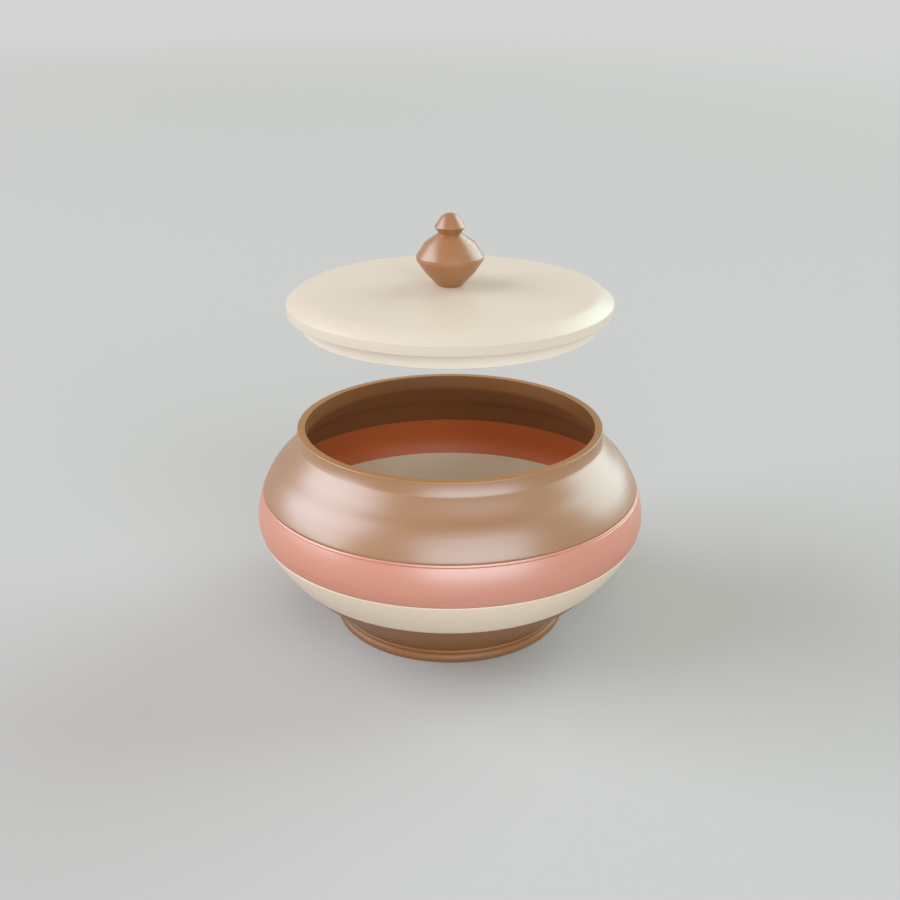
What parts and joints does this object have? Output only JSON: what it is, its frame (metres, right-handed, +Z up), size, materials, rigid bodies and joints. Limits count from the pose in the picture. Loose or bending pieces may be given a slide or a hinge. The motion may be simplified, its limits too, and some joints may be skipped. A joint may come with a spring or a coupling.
{
  "type": "lidded bowl",
  "caption": "Round lidded bowl built up from fitted bands of brown, coral and cream satin clay, with a beaded foot ring, a short upright neck and a flanged lid with a turned knob.",
  "frame": {"origin": "centre of the flat face that the foot ring stands on", "axes": "+Z up along the axis that every piece is turned about"},
  "size_m": [0.2006, 0.2006, 0.215],
  "materials": {
    "brown_clay": "satin",
    "coral_clay": "satin",
    "cream_clay": "satin",
    "knob_clay": "satin"
  },
  "bodies": {
    "bowl": {"foot_ring": "brown_clay", "base": "brown_clay", "lower_ring": "cream_clay", "belly_ring": "coral_clay", "shoulder_ring": "brown_clay"},
    "lid": {"lid": "cream_clay", "knob": "knob_clay"}
  },
  "joints": [
    {"name": "lid_lift", "type": "slide", "parent": "bowl", "child": "lid", "axis": [0, 0, 1], "range_m": [-0.0607, 0]}
  ]
}
